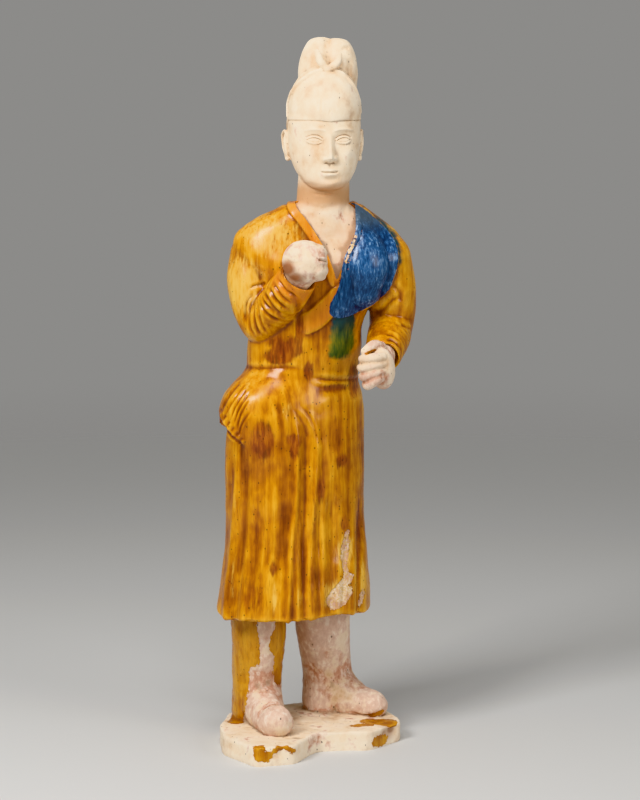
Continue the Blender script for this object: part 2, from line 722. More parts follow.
# the fingers close behind the fist, one below the other
for k in range(4):
    z = 477 - 7.5 * k
    path = [(0, -40, z), (-6, -33, z - 2), (-15, -33, z - 4)]
    fist.append(limb(f"right_finger_{k}", path, [6.2, 5.8, 5.0]))
right_hand = weld("right_hand", fist, HAND_GRAIN, soften=6)
cleft = ([(12, 468), (6, 468.5), (0, 470)], 1.0, -1.7, -1, "open")
thumb_line = ([(-33, 470), (-24, 467), (-14, 469)], 1.6, -0.35, -1)
tool(right_hand, [cleft, thumb_line])
crumple(right_hand, size=7.0, depth=0.5, seed=31)
right_hand = thin_out(right_hand, HAND_TRIANGLES)

grip = [
    limb("left_wrist", [(60, -9, 374), (58, -19, 367)], [13.5, 14.5]),
    lump("left_palm", (60, -24, 362.5), (13, 13, 21), turn=20, lean=-8),
]
# where each finger leaves the hand and where its knuckle shows, as x and z
for root_x, root_z, knuckle_x, knuckle_z in [
    (60, 374, 44, 372.5),
    (61, 367.5, 42.5, 364),
    (61, 361, 44, 355.5),
    (60, 355, 47.5, 347.5),
]:
    root = (root_x, -33, root_z)
    middle = ((root_x + knuckle_x) / 2, -38.5, (root_z + knuckle_z) / 2 + 0.6)
    knuckle = (knuckle_x, -36.5, knuckle_z)
    tip = (knuckle_x - 3, -24, knuckle_z - 1)
    grip.append(limb("left_finger", [root, middle, knuckle, tip], [4.8, 4.9, 4.7, 4.0]))
grip.append(limb("left_thumb", [(59, -19, 382), (52, -27, 385), (43.5, -32, 379.5)], [5.8, 5.2, 4.2]))
left_hand = weld("left_hand", grip, HAND_GRAIN, soften=3)
left_hand = thin_out(left_hand, HAND_TRIANGLES)

# The boots: thick clay legs set up inside the hem, the right foot pointing at the viewer and the left one
# turned out to the side, each with a rounded toe and pressed down on the slab.
BOOT_GRAIN = 1.1
BOOT_TRIANGLES = 14000
BOOT_SINK = 4.0
RIGHT_BOOT = {"top": (-62, 32), "ankle": (-64, 37), "heel": (-64, 47), "toe": (-45.5, -26)}
LEFT_BOOT = {"top": (3, 60), "ankle": (7, 75), "heel": (6, 79), "toe": (52, 49)}
# the right toe ends in a blunt ball of clay
TOE_BALL = (-42.5, -28.5, 12.5)
TOE_BALL_RADIUS = 17.0


def flatten(mesh, lowest):
    """Presses whatever lies lower up to that height, as a sole."""
    co = points_of(mesh)
    co[:, 2] = np.maximum(co[:, 2], lowest)
    return put_points(mesh, co)


def boot(name, plan):
    """A boot's leg, foot and instep, overlapping. The plan holds the x and y of its main points."""
    top, ankle, heel, toe = (np.array(plan[key], float) for key in ("top", "ankle", "heel", "toe"))
    ball = heel + (toe - heel) * 0.72
    instep = heel + (toe - heel) * 0.45
    leg = limb(f"{name}_leg", [(*top, 138), (*top, 85), (*ankle, 40), (*ankle, 10)], [27.5, 27.5, 25.5, 25.5])
    foot = limb(f"{name}_foot", [(*heel, 14), (*instep, 13), (*ball, 11), (*toe, 10.5)], [19.5, 20, 18, 15.5])
    slope = limb(f"{name}_instep", [(*ankle, 32), (*instep, 17), (*ball, 11)], [23, 20.5, 17.5])
    toe_pad = lump(f"{name}_toe", (*(toe + (toe - heel) * 0.02), 10.5), (16.5, 16, 14.5))
    return [flatten(mesh, -BOOT_SINK) for mesh in (leg, foot, slope, toe_pad)]


def relaxed(mesh, co, share, rounds):
    """The points drawn to the middle of their neighbours, each by its share, that many times."""
    one, two = values_of(mesh.edges, "vertices", 2, int).T
    neighbours = np.bincount(one, minlength=len(co)) + np.bincount(two, minlength=len(co))
    for _ in range(rounds):
        total = [
            np.bincount(one, co[two, k], len(co)) + np.bincount(two, co[one, k], len(co)) for k in range(3)
        ]
        middle = np.stack(total, axis=1) / neighbours[:, None]
        co = co + 0.5 * share[:, None] * (middle - co)
    return co


boots = weld("boots", boot("right", RIGHT_BOOT) + boot("left", LEFT_BOOT), BOOT_GRAIN, soften=6)
co = points_of(boots)
# the joins of leg, foot and instep are rubbed smooth, away from the sole and from the leg's upper part
co = relaxed(boots, co, ease(6, 18, co[:, 2]) * ease(85, 62, co[:, 2]), 110)
# what lies inside the ball is pushed out to its face, in front of its middle
out = co - np.array(TOE_BALL)
gap = np.linalg.norm(out, axis=1)
share = ease(12, -4, out[:, 1]) * (gap < TOE_BALL_RADIUS)
co = co + out * (share * (TOE_BALL_RADIUS / gap - 1))[:, None]
co = relaxed(boots, co, ease(30, 14, gap), 8)
put_points(boots, co)
crumple(boots, size=14.0, depth=0.9, seed=3)
crumple(boots, size=5.0, depth=0.4, seed=4)
# the line over the right toe, the one along the left foot and a crease behind the left leg
boot_lines = [
    ([(-62, 8), (-60, 20), (-54, 25), (-44, 27), (-34, 25), (-30, 16)], 1.3, -1.2, -1),
    ([(30, 4), (44, 1), (58, 4), (68, 9)], 1.3, -1.1, -1),
    ([(-15, 62), (-2, 58), (12, 60)], 2.2, -0.9, 1),
]
tool(boots, boot_lines)
flatten(boots, -BOOT_SINK)
boots = thin_out(boots, BOOT_TRIANGLES)

# The slab: rolled out by hand and trimmed round the boots, with a waist in front between the toes. Its
# underside is flat and its upper edge is worn and chipped.
SLAB_GRAIN = 1.3
SLAB_TRIANGLES = 16000
SLAB_MARGIN = 12.0
# x and y of the slab's corners, where its edge comes nearest to a boot, and the way out from there
SLAB_CORNERS = [
    (-57, -73, -115),
    (-30, -62, -60),
    (-20, -33, -30),
    (-6, -16, -70),
    (28, -10, -90),
    (44, -12, -65),
    (69, 18, -20),
    (69, 32, 10),
    (57, 62, 40),
    (33, 88, 60),
    (0, 97, 95),
    (-26, 78, 110),
    (-56, 68, 110),
    (-84, 46, 140),
    (-88, 4, 180),
    (-84, -34, 200),
]
corners = []
for x, y, way in SLAB_CORNERS:
    out = math.radians(way)
    corners.append((x + SLAB_MARGIN * math.cos(out), y + SLAB_MARGIN * math.sin(out), -SLAB_THICKNESS))
block = drawn_out(corners, (0, 0, SLAB_THICKNESS))


def rounded(block, edges, offset, segments):
    """Rounds a block's edges, over that many millimetres to each side."""
    form = {"segments": segments, "profile": 0.5, "affect": "EDGES", "material": -1}
    bmesh.ops.bevel(block, geom=edges, offset=offset, **form)


upright = [edge for edge in block.edges if abs(edge.verts[0].co.z - edge.verts[1].co.z) > 1]
rounded(block, upright, 6.0, 4)
rim = [edge for edge in block.edges if min(vert.co.z for vert in edge.verts) > -1]
rim = [edge for edge in rim if len({face.normal.z > 0.5 for face in edge.link_faces}) == 2]
rounded(block, rim, 1.2, 2)
slab = weld("slab", [mesh_of("slab", block)], SLAB_GRAIN, soften=1)
crumple(slab, size=26.0, depth=1.0, seed=11)
crumple(slab, size=6.0, depth=0.5, seed=17)
co = points_of(slab)
normal = normals_of(slab)
# x, y, z, size and depth of the chips
for x, y, z, size, depth in [
    (72, 6, -6, 8.5, 4.5), (66, -4, -6, 6, 1.5), (-56, -84, -2, 7, 2.0), (-38, -78, -3, 6, 1.8),
    (-98, -20, -1, 8, 1.5), (-22, -42, -2, 5, 1.2), (20, -22, 0, 6, 0.9), (60, 74, -1, 8, 2.0),
    (-70, 74, -2, 9, 1.8), (-46, 92, 0, 6, 1.4),
]:
    gap = np.linalg.norm(co - np.array((x, y, z)), axis=1)
    co = co - normal * (depth * bump(gap, 0, size))[:, None]
co[:, 2] = np.where(co[:, 2] < 1.2 - SLAB_THICKNESS, -SLAB_THICKNESS, co[:, 2])
put_points(slab, co)
slab = thin_out(slab, SLAB_TRIANGLES)

# The head, neck and bare chest: the head was moulded, dressed by hand and joined to the body under the
# collar. The face is calm and full, the ears lie close, and a cap of thin cloth covers the hair.
HEAD_GRAIN = 0.62
HEAD_TRIANGLES = 56000
HEAD_CENTRE = (4.0, 20.0, 582.0)
HEAD_TURN = 8.0
HEAD_POWER = 0.92
CHEST_INSET = 5.0
CHEST_FOOT = 425
CHEST_HEIGHT = 98
# height from the eye line, half width, front, back
HEAD = [
    (-49, 5, 26, -16),
    (-47, 12, 31, -8),
    (-42, 20, 35.5, 2),
    (-33, 27, 37, 16),
    (-20, 32.5, 37.5, 30),
    (-6, 35, 37, 38),
    (8, 35.8, 37.5, 41),
    (22, 35, 37, 41),
    (34, 31, 33, 38),
    (43, 23, 25, 30),
    (48, 12, 13, 18),
]
# the left ear's rolled rim, from its root over the top and down to the lobe
EAR_RIM = [
    (35.5, 0, -2), (36.6, 1, 5), (38.0, 6, 8.5), (39.0, 11.5, 5), (38.6, 12.5, -4), (36.6, 8, -13),
    (35.4, 3.5, -18),
]
EAR_RIM_RADII = [1.5, 1.7, 1.8, 1.9, 1.8, 2.0, 2.8]


def turned(points):
    """Points from the middle of the head, brought to their places on the figure."""
    x, y, z = np.array(points, float).T
    return np.stack([*rotated(x, y, HEAD_TURN), z], axis=1) + np.array(HEAD_CENTRE)


def closing(t, share):
    """A form's width as it closes round over that share of its height, at its foot and at its top."""
    return np.sqrt(np.clip(t / share, 0, 1)) * np.sqrt(np.clip((1 - t) / share, 0, 1))


def chest_place(angle, t):
    """The body a little inside the robe, from below the V up to the neck."""
    z = CHEST_FOOT + t * CHEST_HEIGHT
    cx, cy, wide, deep, turn = follow(heights, stations, z).T
    close = closing(t, 0.03)
    x, y = oval(angle, (wide - CHEST_INSET) * close, (deep - CHEST_INSET) * close, BODY_POWER)
    x, y = rotated(x, y, turn)
    return np.stack([cx + x, cy + y, z], axis=1)


def head_place(angle, t):
    """The plain egg of the head, from under the chin to the crown."""
    z = HEAD[0][0] + t * (HEAD[-1][0] - HEAD[0][0])
    sections = np.array([row[1:] for row in HEAD], float)
    wide, front, back = follow([row[0] for row in HEAD], sections, z).T
    close = closing(t, 0.02)
    x, y = oval(angle, wide * close, (back + front) / 2 * close, HEAD_POWER)
    return turned(np.stack([x, (back - front) / 2 + y, z], axis=1))


def ear(side):
    """A flat shell with a rolled rim and a lobe, on the figure's left for side 1 and its right for -1."""
    shell = lump("ear_shell", (35.6 * side, 6.5, -6), (3.0, 7.4, 14.0), turn=side * 20, lean=side * 6)
    rim = limb("ear_rim", [(x * side, y, z) for x, y, z in EAR_RIM], EAR_RIM_RADII, columns=20)
    return [put_points(mesh, turned(points_of(mesh))) for mesh in (shell, rim)]


def press_top(mesh, ceiling):
    """Softly flattens a form's top against a height, over the last 8 mm below it."""
    co = points_of(mesh)
    over = co[:, 2] - (ceiling - 8)
    co[:, 2] = np.where(over > 0, ceiling - 8 + 8 * np.tanh(over / 8), co[:, 2])
    return put_points(mesh, co)


DOME_CENTRE = (4.5, 20.0, 612.0)
DOME_SIZE = (34.8, 39.5, 45.0)
# x and z of the cord that is drawn round the foot of the crown
CORD = [
    (-32, 604), (-31, 617), (-26, 630), (-16, 641), (-4, 648), (8, 650), (20, 646.5), (30, 637), (37, 624),
    (40, 608),
]
cord_path = []
for x, z in CORD:
    left = 1 - ((x - DOME_CENTRE[0]) / DOME_SIZE[0]) ** 2 - ((z - DOME_CENTRE[2]) / DOME_SIZE[2]) ** 2
    cord_path.append((x, DOME_CENTRE[1] - DOME_SIZE[1] * math.sqrt(max(left, 0.0)), z))
cap = [
    lump("cap_dome", DOME_CENTRE, DOME_SIZE, turn=HEAD_TURN, columns=160, rows=110),
    press_top(lump("crown_right", (-0.5, 30, 646), (21, 22, 38.6), turn=HEAD_TURN, lean=3), 682.6),
    press_top(lump("crown_left", (16, 31, 645.5), (21, 22, 38.6), turn=HEAD_TURN), 681.4),
    limb("cap_cord", cord_path, [0.4, 1.3] + [2.1] * 6 + [1.3, 0.4], columns=16, rows=120),
    limb("knot_right", [(6, -1, 650), (1, -1, 657), (-3, 6, 667)], [3.0, 4.0, 2.6]),
    limb("knot_left", [(9, -1, 650), (16, 0, 656), (19, 7, 664)], [3.0, 4.0, 2.6]),
    lump("knot_middle", (7.5, -2.5, 650.5), (4.2, 3.2, 3.4)),
]
neck = limb("neck", [(3, 24, 495), (3, 24, 520), (4, 23, 552)], [28, 26, 25], columns=120, rows=90)
chest = shaped_ball("chest", 220, 90, chest_place)
skull = shaped_ball("skull", 200, 160, head_place)
head = weld("head", [chest, neck, skull, *ear(-1), *ear(1), *cap], HEAD_GRAIN, soften=5)
co = points_of(head)
# the neck runs softly into the chest
put_points(head, relaxed(head, co, ease(528, 512, co[:, 2]), 60))

# the face's rounded swells, and its hollows where depth is below 0: depth, distance from the middle line
# and width there, height from the eye line and width there
FACE_SWELLS = [
    (2.6, 5.9, 2.3, -17.8, 2.9),  # the wings of the nose
    (-1.5, 3.4, 1.3, -21.2, 1.0),  # the nostrils
    (-0.5, 0, 1.3, -24.6, 1.8),  # the groove below the nose
    (-3.2, 12.5, 7.5, 1.5, 5.2),  # the eye sockets
    (1.8, 0, 9.0, -30, 6.0),  # the round of the mouth
    (1.7, 0, 5.6, -33.1, 1.8),  # the lower lip
    (-1.3, 0, 7.0, -37.5, 2.2),  # the hollow below it
    (2.2, 0, 8.0, -43, 4.0),  # the chin
    (1.6, 20, 8.0, -13, 8.0),  # the cheeks
]
NOSE_LINE = [(-22, 0.0), (-20, 5.5), (-17, 9.5), (-12, 8.4), (4, 2.2), (10, 0.0)]
NOSE_WIDTH = [(-22, 5.2), (-16, 5.0), (4, 3.2), (10, 4.4)]


def face_relief(x, z):
    """How far the face stands forward of the plain egg of the head, in millimetres."""
    side = np.abs(x)
    eye = side - 14.2
    lid = 2.4 * np.clip(1 - (eye / 7.2) ** 2, 0, 1) + 0.06 * eye
    lower_lid = -1.7 * np.clip(1 - (eye / 6.8) ** 2, 0, 1) + 0.06 * eye
    in_eye = ease(8.2, 6.2, np.abs(eye))
    brow = 9.0 + 1.8 * np.clip(1 - ((side - 14) / 11) ** 2, 0, 1)
    mouth = -30.8 + 0.5 * bump(x, 0, 2.4) + 0.012 * x**2
    relief = read_off(NOSE_LINE, z) * bump(x, 0, read_off(NOSE_WIDTH, z))
    for depth, beside, wide, height, tall in FACE_SWELLS:
        relief += depth * bump(side, beside, wide) * bump(z, height, tall)
    relief += 2.3 * np.sqrt(np.clip(1 - (eye / 8) ** 2 - ((z - 0.3) / 4.4) ** 2, 0, 1))
    relief += in_eye * (0.7 * bump(z, lid + 1.1, 0.7) - 1.0 * bump(z, lid, 0.6))
    relief += in_eye * (0.3 * bump(z, lower_lid - 0.9, 0.7) - 0.7 * bump(z, lower_lid, 0.55))
    relief -= 0.7 * ease(9.6, 7, np.abs(eye)) * bump(z, lid + 2.9, 0.75)
    relief += 1.0 * ease(12, 8, np.abs(side - 14)) * bump(z, brow, 1.5)
    relief += 1.6 * bump(x, 0, 6.6) * bump(z, -28.2 - 0.4 * bump(x, 0, 1.6), 1.5)
    relief -= 1.7 * ease(9.2, 6.5, side) * bump(z, mouth, 0.65)
    return relief


co = points_of(head)
normal = normals_of(head)
yaw = math.radians(HEAD_TURN)
rel = co - np.array(HEAD_CENTRE)
face_x, face_y = rotated(rel[:, 0], rel[:, 1], -HEAD_TURN)
face_z = rel[:, 2]
forward = np.array([math.sin(yaw), -math.cos(yaw), 0.0])
on_face = ease(-6, -16, face_y) * (face_z > -50) * (face_z < 20) * (normal @ forward > -0.2)
co = co + (face_relief(face_x, face_z) * on_face)[:, None] * forward
# the cap's cloth ends in a thin edge, level on the brow with a shallow point in the middle
cap_edge = 19.5 - 1.4 * bump(face_x, 0, 9) - 15 * ease(-4, 26, face_y)
on_head = (face_z > -8) & (face_z < 62) & (np.abs(rel[:, 0]) < 60)
edge = 0.7 * ease(-0.4, 0.5, face_z - cap_edge) - 0.55 * bump(face_z, cap_edge - 0.5, 0.6)
co = co + (edge * on_head * ease(-12, -2, face_z) * ease(62, 30, face_z))[:, None] * normal
put_points(head, co)
head_lines = [
    # the creases round the throat and at the foot of the neck
    ([(-9, 531), (3, 529.5), (15, 532)], 1.0, -0.9, -1),
    ([(-20, 521), (2, 516), (24, 521)], 2.4, -0.7, -1),
    # the cap's creases: above the brow, between the crown's two halves and beside them, and down the back
    ([(0.5, 608), (1, 616), (1.5, 624)], 0.8, -0.5, -1),
    ([(9, 606), (10, 612)], 0.7, -0.4, -1),
    ([(7, 657), (6.5, 666), (6.5, 676), (6.5, 686)], 3.2, -1.6, -1, "open"),
    ([(20, 668), (25, 671), (29, 670)], 1.6, -1.0, -1),
    ([(-12, 640), (-15, 652), (-14, 664)], 2.2, -0.9, -1),
    ([(26, 640), (29, 652), (28, 662)], 2.2, -0.9, -1),
    ([(4, 600), (5, 640), (6, 670)], 2.0, -1.0, 1),
]
tool(head, head_lines)
crumple(head, size=9.0, depth=0.35, seed=23)
head = thin_out(head, HEAD_TRIANGLES)

# The whole figure: the parts were luted together with slip while damp and fired as one piece, so here
# too they become one skin. Its surfaces keep a number each, in the order of their paints.
ON_ROBE, ON_SKIN, ON_HANDS, ON_BOOTS, ON_SLAB = range(5)
paints = [new_paint(name) for name in ("robe_glaze", "painted_slip", "worn_hands", "boot_slip", "slab_slip")]
forms = [
    (robe, ON_ROBE), (head, ON_SKIN), (right_hand, ON_HANDS), (left_hand, ON_HANDS), (boots, ON_BOOTS),
    (slab, ON_SLAB),
]
for mesh, number in forms:
    mesh.materials.clear()
    for paint in paints:
        mesh.materials.append(paint)
    mesh.polygons.foreach_set("material_index", [number] * len(mesh.polygons))
figure_mesh = combine(robe, [mesh for mesh, _ in forms[1:]], "UNION")
figure_mesh.name = "groom_figure_look"
figure_mesh.polygons.foreach_set("use_smooth", [True] * len(figure_mesh.polygons))
figure_mesh.set_sharp_from_angle(angle=math.radians(48))

# slip fills the joint where the boots stand on the slab
JOINT_REACH = 7.0
co = points_of(figure_mesh)
standing = (np.abs(co[:, 2] - 1.5) < JOINT_REACH) & (normals_of(figure_mesh)[:, 2] > -0.3)
# the corners that a boot and the slab share lie along the joint
owners = [set() for _ in co]
for face in figure_mesh.polygons:
    if face.material_index >= ON_BOOTS:
        for corner in face.vertices:
            owners[corner].add(face.material_index)
joint = KDTree(len(co))
for k, owner in enumerate(owners):
    if len(owner) == 2:
        joint.insert(co[k], k)
joint.balance()
share = np.zeros(len(co))
for k in np.flatnonzero(standing):
    share[k] = ease(JOINT_REACH, 1.0, joint.find(co[k])[2])
put_points(figure_mesh, relaxed(figure_mesh, co, share, 24))

# Where each glaze lies, kept on the clay as distances in millimetres: inside an outline or a run the
# number is above 0. The blue is on the flap, green ran down from it, and the amber flaked in places.
GREEN_RUN = [(13, 412), (24, 413), (34, 415), (34, 394), (32, 377), (22, 369), (8.5, 374), (10.5, 393)]
# x, z, half width, half height and strength of the red-brown pools in the amber. Below 0 the coat is thin
# and sandy there.
POOLS = [
    (-55.5, 292, 10.5, 18.5, 1.5), (-24, 292, 8.5, 6, 1.3), (-25.5, 281, 4.5, 9, 1.4), (-31, 462, 8, 9, 1.4),
    (-24, 453, 9, 6, 1.2), (21.5, 268, 6.5, 6.5, 1.2), (0.5, 241, 3.5, 16, 1.15), (-46, 166, 3.5, 8, 1.2),
    (24, 205, 4, 9, 1.15), (-11, 359, 4.5, 9, 1.4), (-40, 373, 14, 8, 1.7), (-27, 381, 10, 10, 1.5),
    (-19, 398, 5, 13, 1.2), (12, 340.5, 18, 4.5, 0.85), (33, 345, 5, 17, 1.4), (-44, 386, 10, 6, 1.0),
    (-6, 225, 3, 40, 0.4), (38, 190, 2.5, 60, 0.7), (-20, 195, 2.5, 60, 0.45), (-80, 160, 2, 50, 0.4),
    (-8, 150, 4, 26, 0.4), (52, 398, 5, 9, 0.6), (-58, 430, 4, 6, 0.4), (-66, 140, 16, 24, 0.4),
    (-60, 205, 9, 40, 0.3), (18, 300, 4, 40, 0.3), (62, 455, 20, 14, 0.3),
    (-45, 137, 3.5, 18, -0.9), (-20, 143, 3, 20, -0.7), (25, 178, 9, 20, -1.0), (17, 138, 18, 15, -0.8),
    (42, 146, 3, 22, -0.8), (-84, 228, 2, 12, -0.6), (12, 226, 10, 12, -0.4), (-32.5, 321, 5, 12, -0.45),
    (-70, 342, 3, 9, -0.6), (-86, 150, 2.5, 30, -0.5), (-48, 490, 34, 22, -0.75), (-76, 440, 24, 34, -0.8),
    (64, 488, 18, 18, -0.6), (67.5, -7.5, 8, 7, 0.6), (54, 362, 17, 16, 0.28), (-8, 462, 20, 16, 0.1),
]
# paths and half widths where the glaze has come away down to the clay
FLAKES = [
    ([(27, 197), (26, 189)], 1.8),
    ([(25.5, 186), (24, 173)], 3.8),
    ([(24, 170), (25, 160), (28, 152)], 2.2),
    ([(10, 132), (16, 139), (23, 146), (29, 152)], 4.2),
    ([(13, 127), (21, 130), (27, 138)], 5.5),
    ([(39, 121), (43, 134)], 2.0),
    ([(24.5, 465), (27, 471)], 1.1),
    ([(28, 474), (31, 481)], 1.8),
    ([(32.5, 484), (35, 490)], 1.2),
]
# the right leg is bare inside this outline and amber round it
BARE_LEG = [
    (-55, 116), (-63, 104), (-61, 90), (-60, 74), (-61, 60), (-70, 57), (-71, 39), (-75, 13), (-77, 0),
    (-76, -12), (-48, -12), (-20, -12), (-20, 30), (-34, 34), (-43, 37), (-47, 47), (-46, 69), (-51, 75),
    (-49, 91), (-44, 99), (-48, 116),
]
BOOT_RUNS = [
    ([(64, 4), (50, 0), (36, -2)], 3.6),
    ([(34, 125), (35, 108), (34.5, 98)], 2.2),
    ([(-20, 120), (-19, 100)], 2),
]
SLAB_RUNS = [
    ([(-59, -2), (-58, -8), (-52, -9.5)], 5.5),
    ([(-48, -7), (-41, -2.5), (-33, -1), (-26, -6)], 2.4),
    ([(57, -12), (62, -12.5)], 5.6),
]
HAND_RUN = [([(44, 378), (53, 381)], 1.3)]
# the runs on the slab's top, as x and y
TOP_RUNS = [([(-80, 34), (-85, 17)], 8.5), ([(34, 2), (50, 5)], 5.0), ([(52, 17), (66, 17)], 12.0)]
# the depth that stands for nowhere near a glaze's edge
FAR_OUTSIDE = -30.0


def depth_in(runs, flat):
    """How far inside the nearest of the runs each flat point is."""
    best = np.full(len(flat), -99.0)
    for path, half in runs:
        away, _ = away_from(smooth_line(path), flat)
        best = np.maximum(best, half - away)
    return best


def only(where, depth):
    """The depth where that holds, and far outside elsewhere."""
    return np.where(where, depth, FAR_OUTSIDE)


def keep(name, values):
    """Writes one value for each point of the figure under that name, for the glazes to read."""
    attribute = figure_mesh.attributes.new(name, "FLOAT", "POINT")
    attribute.data.foreach_set("value", np.asarray(values, np.float32))


co = points_of(figure_mesh)
normal = normals_of(figure_mesh)
flat = co[:, [0, 2]]
corners = values_of(figure_mesh.loops, "vertex_index", kind=int)
sizes = values_of(figure_mesh.polygons, "loop_total", kind=int)
kind = np.zeros(len(co), int)
kind[corners] = np.repeat(values_of(figure_mesh.polygons, "material_index", kind=int), sizes)
seen = (normal[:, 1] < 0.25) & (co[:, 1] < 40)
seen_robe = seen & (kind == ON_ROBE)

blue = only(seen_robe, within(FLAP, flat))
run = within(GREEN_RUN, flat)
rim = 2.4 - np.abs(blue + 1.0) - 3 * ease(470, 450, co[:, 2]) - 3 * ease(60, 45, co[:, 0])
keep("blue", blue)
keep("green", only(seen_robe, np.maximum(run, rim)))
deep = np.zeros(len(co))
thin = np.zeros(len(co))
for x, z, half_x, half_z, strength in POOLS:
    spot = np.exp(-(((co[:, 0] - x) / half_x) ** 2 + ((co[:, 2] - z) / half_z) ** 2) ** 1.5)
    deep = np.maximum(deep, strength * spot)
    thin = np.maximum(thin, -strength * spot)
deep = np.maximum(deep, 1.4 * ease(-1.5, 1.5, depth_in([(GATHER_LINE, 2.2)], flat)))
keep("pool", (deep - thin) * seen)
flake = only(seen_robe, depth_in(FLAKES, flat))
# away from the viewer the right leg is amber down to just above the slab
amber_leg = np.where(seen, -within(BARE_LEG, flat), ease(8, 14, co[:, 2]) * 12 - 6)
leg_glaze = np.where(co[:, 0] < -30, amber_leg, only(seen, depth_in(BOOT_RUNS, flat)))
on_side = (normal[:, 1] < 0.3) & ((normal[:, 2] < 0.7) | (co[:, 1] < -72))
on_top = co[:, 2] > -4
slab_glaze = np.maximum(only(on_side, depth_in(SLAB_RUNS, flat)), only(on_top, depth_in(TOP_RUNS, co[:, :2])))
which = [kind == ON_HANDS, kind == ON_BOOTS, kind == ON_SLAB]
run_depth = np.select(which, [depth_in(HAND_RUN, flat), leg_glaze, slab_glaze], flake)
# on the robe this is how far inside a flake each point lies, and elsewhere how far inside the glaze
keep("run", np.clip(run_depth, FAR_OUTSIDE, -FAR_OUTSIDE))
# the robe is redder along the V, on the border and at the right cuff, and the skin browner on the neck
edge_tint = 0.8 * ease(-9.5, -6, within(V_OPENING, flat)) * (co[:, 1] < 20)
tint = edge_tint + 0.9 * ease(0, 3, within(BORDER, flat))
cuff_gap = np.linalg.norm(co - np.array(RIGHT_CUFF), axis=1)
tint = np.maximum(tint, 0.9 * ease(31, 23, cuff_gap))
neck = ease(50, 15, co[:, 1]) * ease(550, 531, co[:, 2]) * ease(512, 524, co[:, 2])
neck_tint = 0.92 * neck + 0.12 * ease(520, 505, co[:, 2])
keep("tint", np.where(kind == ON_SKIN, neck_tint, np.clip(tint * seen, 0, 1)))

# how far each place lies below the clay round it: glaze gathers there and dust stays in
soft = relaxed(figure_mesh, co, np.ones(len(co)), 14)
keep("hollow", np.clip(np.sum((soft - co) * normal, axis=1) / 0.7, -1, 1))


# The glazes. Amber is a lead glaze coloured with iron: it ran down in streaks, thin and pale on the
# ridges and brown where it gathered, and it is pricked with dark pinholes.
def group(name, inputs, outputs):
    """An empty node group with those number inputs and those outputs, each output by name and kind."""
    made = bpy.data.node_groups.new(name, "ShaderNodeTree")
    for label in inputs:
        made.interface.new_socket(label, in_out="INPUT", socket_type="NodeSocketFloat")
    for label, kind in outputs.items():
        made.interface.new_socket(label, in_out="OUTPUT", socket_type=f"NodeSocket{kind}")
    return made, made.nodes.new("NodeGroupInput"), made.nodes.new("NodeGroupOutput")


def place_scaled(tree, x, y, z):
    """Places on the object, in metres, multiplied by a number along each axis."""
    place = node(tree, "TexCoord").outputs["Object"]
    return node(tree, "VectorMath", {"operation": "MULTIPLY"}, i0=place, i1=(x, y, z)).outputs[0]


def noise_of(tree, x, y, z, detail=4.0, roughness=0.55):
    """A cloudy pattern with that many clouds to the metre along each axis."""
    place = place_scaled(tree, x, y, z)
    return node(tree, "TexNoise", Vector=place, Scale=1.0, Detail=detail, Roughness=roughness).outputs["Fac"]


def maths(tree, operation, a, b):
    return node(tree, "Math", {"operation": operation}, i0=a, i1=b).outputs[0]


def times(tree, a, b):
    return maths(tree, "MULTIPLY", a, b)


def plus(tree, a, b):
    return maths(tree, "ADD", a, b)


def minus(tree, a, b):
    return maths(tree, "SUBTRACT", a, b)


def mix(tree, share, a, b):
    """The color a where the share is 0 and b where it is 1."""
    return node(tree, "Mix", {"data_type": "RGBA"}, i0=share, i6=a, i7=b).outputs[2]


def cover(tree, under, mask, strength, over):
    """The color under, with the color over laid on it at that strength where the mask is 1."""
    return mix(tree, times(tree, mask, strength), under, over)


def ramp(tree, value, stops):
    """A color for each value, from a list of values and their colors."""
    made = node(tree, "ValToRGB", Fac=value)
    while len(made.color_ramp.elements) < len(stops):
        made.color_ramp.elements.new(0.5)
    for element, (place, color) in zip(made.color_ramp.elements, stops):
        element.position = place
        element.color = (*color, 1.0)
    return made.outputs["Color"]


def kept(tree, name):
    """What is kept on the clay under that name."""
    return node(tree, "Attribute", {"attribute_name": name}).outputs["Fac"]


def specks(tree, scale, size, share):
    """Small dots of uneven size, one in each cell of that share of the cells, thicker in some places."""
    cells = node(tree, "TexVoronoi", Vector=place_scaled(tree, 1, 1, 0.7), Scale=scale)
    chances = node(tree, "SeparateColor", i0=cells.outputs["Color"])
    reach = times(tree, chances.outputs[1], size)
    dot = between(tree, minus(tree, cells.outputs["Distance"], reach), 0.0, -0.08)
    crowd = times(tree, noise_of(tree, 45, 45, 30, 2.0), share * 2)
    return times(tree, dot, maths(tree, "LESS_THAN", chances.outputs[0], crowd))


amber, given, result = group("amber glaze", ["Pool", "Hollow", "Tint"], {"Color": "Color", "Height": "Float"})
hollow = given.outputs["Hollow"]
streaks = noise_of(amber, 150, 150, 9, 5.0, 0.6)
clouds = noise_of(amber, 34, 34, 15, 6.0, 0.62)
flow = plus(amber, times(amber, streaks, 0.45), times(amber, clouds, 0.55))
flow = minus(amber, flow, times(amber, hollow, 0.11))
ambers = [
    (0.33, (0.17, 0.037, 0.002)),
    (0.42, (0.33, 0.094, 0.003)),
    (0.485, (0.47, 0.163, 0.003)),
    (0.55, (0.61, 0.252, 0.005)),
    (0.67, (0.82, 0.43, 0.04)),
]
coat = ramp(amber, flow, ambers)
hairs = between(amber, noise_of(amber, 620, 620, 22, 3.0), 0.60, 0.74)
coat = cover(amber, coat, hairs, 0.45, (0.27, 0.075, 0.004, 1))
coat = cover(amber, coat, given.outputs["Tint"], 0.6, (0.74, 0.235, 0.035, 1))
drift = times(amber, minus(amber, noise_of(amber, 330, 330, 60, 6.0, 0.65), 0.5), 1.8)
ragged = plus(amber, given.outputs["Pool"], drift)
